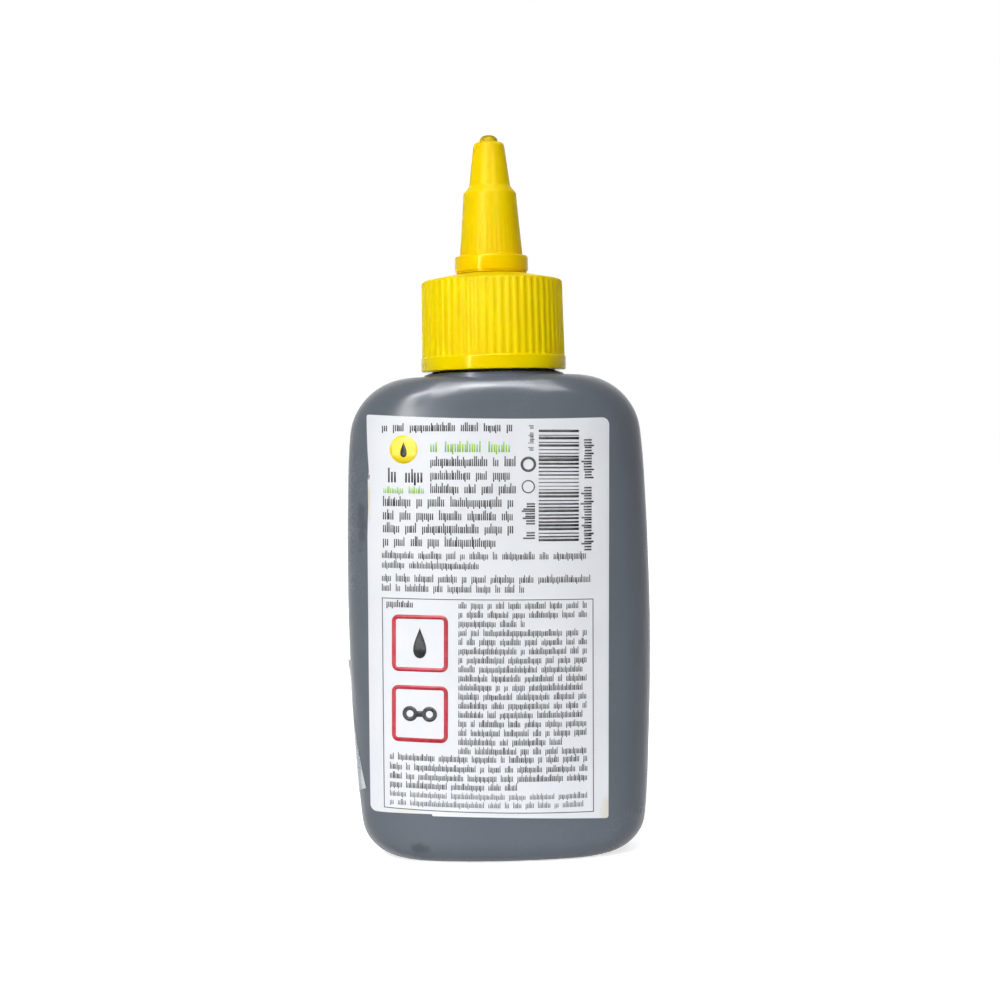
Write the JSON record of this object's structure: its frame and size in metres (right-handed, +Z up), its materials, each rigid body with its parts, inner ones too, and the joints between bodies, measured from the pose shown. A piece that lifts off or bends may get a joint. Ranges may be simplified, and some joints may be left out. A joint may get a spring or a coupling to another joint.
{
  "type": "chain lube drip bottle",
  "caption": "Oval grey squeeze bottle for bicycle chain lube, with a paper label, a ribbed yellow screw cap and a stepped yellow drip spout that rises off its pin to open.",
  "frame": {"origin": "centre of the base, on the plane the bottle stands on", "axes": "+Z up along the neck and spout, X along the body's width, -Y towards the label"},
  "size_m": [0.0604, 0.0312, 0.1427],
  "materials": {
    "bottle_plastic": "satin blown polyethylene, grey",
    "label_paper": "white coated paper, printed",
    "tape_film": "clear tape, slightly cloudy",
    "gasket_foam": "white foam washer",
    "cap_plastic": "semi-gloss yellow",
    "spout_plastic": "semi-gloss yellow"
  },
  "bodies": {
    "bottle": {"bottle": "bottle_plastic", "label": "label_paper", "clear_tape": "tape_film"},
    "gasket": {"gasket": "gasket_foam"},
    "cap": {"screw_cap": "cap_plastic"},
    "spout": {"drip_spout": "spout_plastic"}
  },
  "joints": [
    {"name": "cap_lift", "type": "slide", "parent": "bottle", "child": "gasket", "axis": [0, 0, 1], "range_m": [0, 0.00476]},
    {"name": "cap_turn", "type": "hinge", "parent": "gasket", "child": "cap", "pos_m": [0, 0, 0.1], "axis": [0, 0, 1], "range_deg": [0, 540]},
    {"name": "spout_rise", "type": "slide", "parent": "cap", "child": "spout", "axis": [0, 0, 1], "range_m": [0, 0.0035]}
  ],
  "couplings": [
    {"joint": "cap_turn", "follows": "cap_lift", "rad_per_m": 1979}
  ]
}
